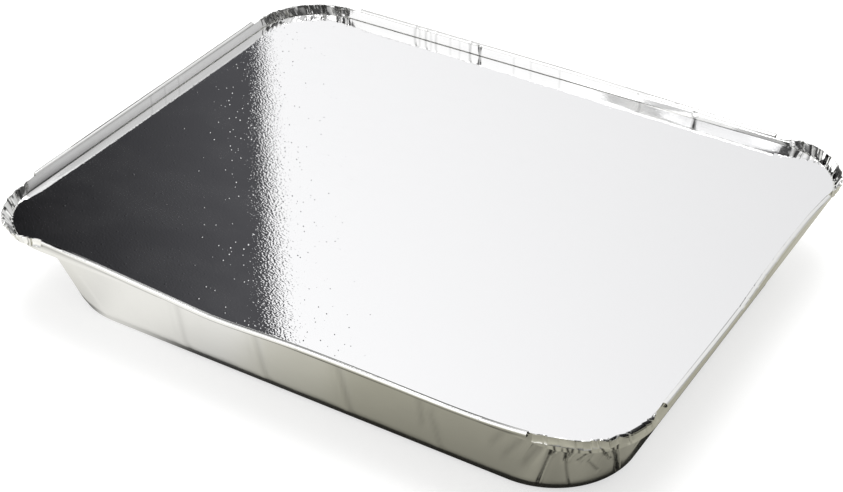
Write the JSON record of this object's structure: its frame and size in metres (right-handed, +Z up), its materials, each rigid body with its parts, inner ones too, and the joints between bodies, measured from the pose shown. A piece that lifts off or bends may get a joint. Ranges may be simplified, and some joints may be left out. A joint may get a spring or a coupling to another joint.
{
  "type": "foil tray",
  "caption": "Rectangular aluminium foil food tray with rolled rim, pleated corners and a flat foil-faced board lid held inside the rim.",
  "frame": {"origin": "middle of the flat underside of the tray's base", "axes": "+X along the long sides, +Y along the short sides, +Z up through the open mouth"},
  "size_m": [0.322, 0.257, 0.05],
  "materials": {
    "tray_foil": "bright thin foil",
    "lid_foil": "mirror foil on board"
  },
  "bodies": {
    "root": {"tray": "tray_foil", "lid": "lid_foil"}
  },
  "joints": []
}
